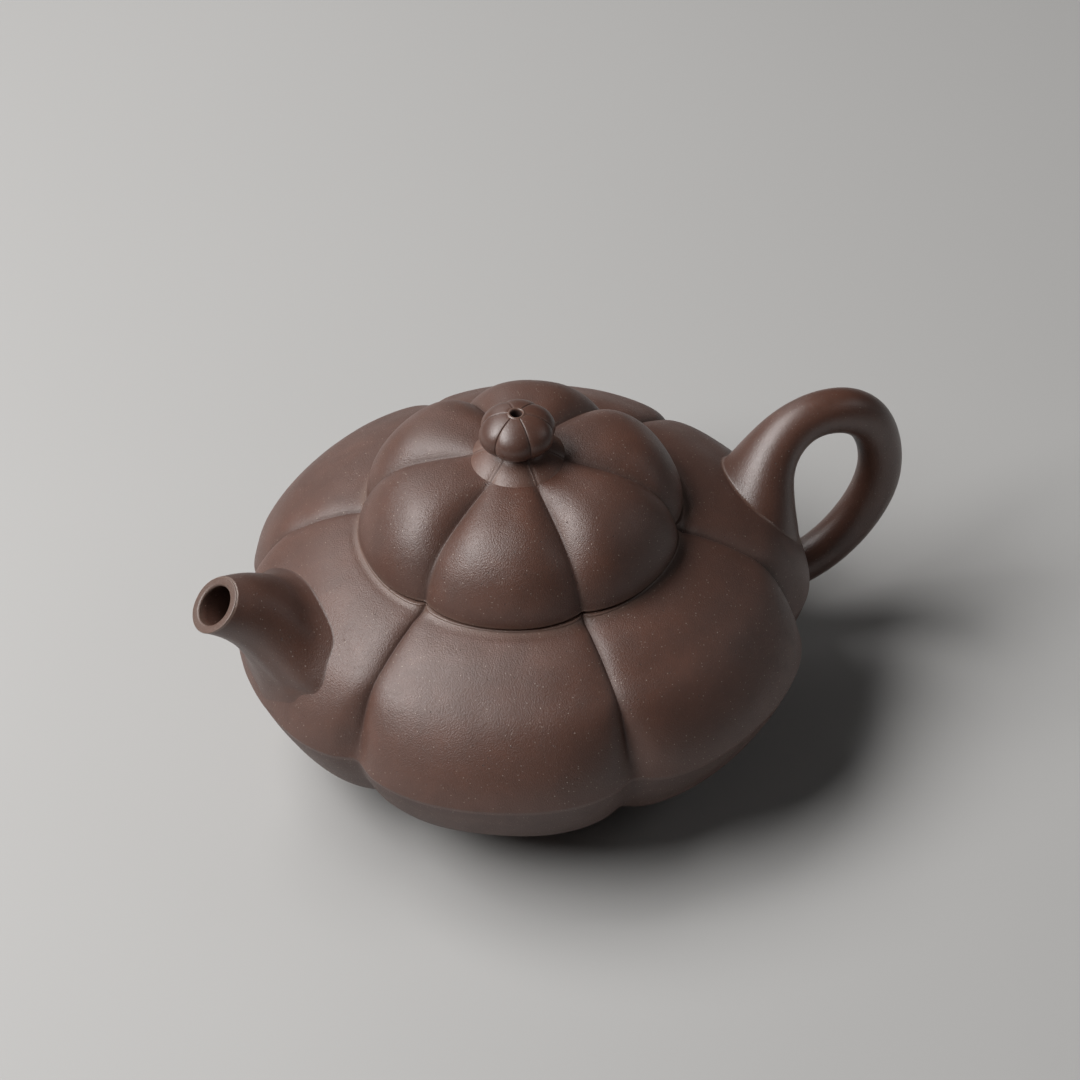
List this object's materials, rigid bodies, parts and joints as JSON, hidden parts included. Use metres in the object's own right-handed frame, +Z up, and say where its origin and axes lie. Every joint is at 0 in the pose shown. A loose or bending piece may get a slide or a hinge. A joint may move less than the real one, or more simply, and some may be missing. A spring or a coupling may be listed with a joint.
{
  "type": "yixing clay teapot",
  "caption": "Low lobed unglazed clay teapot with a short spout, round ear handle and a puffed lift-off lid with a vented melon knob.",
  "frame": {"origin": "on the floor, under the middle of the pot's whole length and width", "axes": "+Z up; the spout points along -X and the handle along +X"},
  "size_m": [0.1423, 0.1058, 0.0726],
  "materials": {
    "body_upper_shell": "unglazed purple-brown clay, fine sandy grain, satin sheen",
    "body_lower_shell": "unglazed purple-brown clay, fine sandy grain, satin sheen",
    "base_disc": "unglazed purple-brown clay, fine sandy grain, satin sheen",
    "foot_ring": "unglazed purple-brown clay, fine sandy grain, satin sheen",
    "mouth_rim": "unglazed purple-brown clay, fine sandy grain, satin sheen",
    "spout": "unglazed purple-brown clay, fine sandy grain, satin sheen",
    "ball_strainer": "unglazed purple-brown clay, fine sandy grain, satin sheen",
    "handle": "unglazed purple-brown clay, fine sandy grain, satin sheen",
    "lid_flange": "unglazed purple-brown clay, fine sandy grain, satin sheen",
    "lid_dome": "unglazed purple-brown clay, fine sandy grain, satin sheen",
    "knob_neck": "unglazed purple-brown clay, fine sandy grain, satin sheen",
    "knob": "unglazed purple-brown clay, fine sandy grain, satin sheen"
  },
  "bodies": {
    "pot": {"body_upper_shell": "body_upper_shell", "body_lower_shell": "body_lower_shell", "base_disc": "base_disc", "foot_ring": "foot_ring", "mouth_rim": "mouth_rim", "spout": "spout", "ball_strainer": "ball_strainer", "handle": "handle"},
    "lid_collar": {"lid_flange": "lid_flange"},
    "lid": {"lid_dome": "lid_dome", "knob_neck": "knob_neck", "knob": "knob"}
  },
  "joints": [
    {"name": "lid_lift", "type": "slide", "parent": "pot", "child": "lid_collar", "axis": [0, 0, 1], "range_m": [0, 0.08]},
    {"name": "lid_turn", "type": "hinge", "parent": "lid_collar", "child": "lid", "pos_m": [-0.007, 0, 0.0473], "axis": [0, 0, 1], "continuous": true}
  ]
}
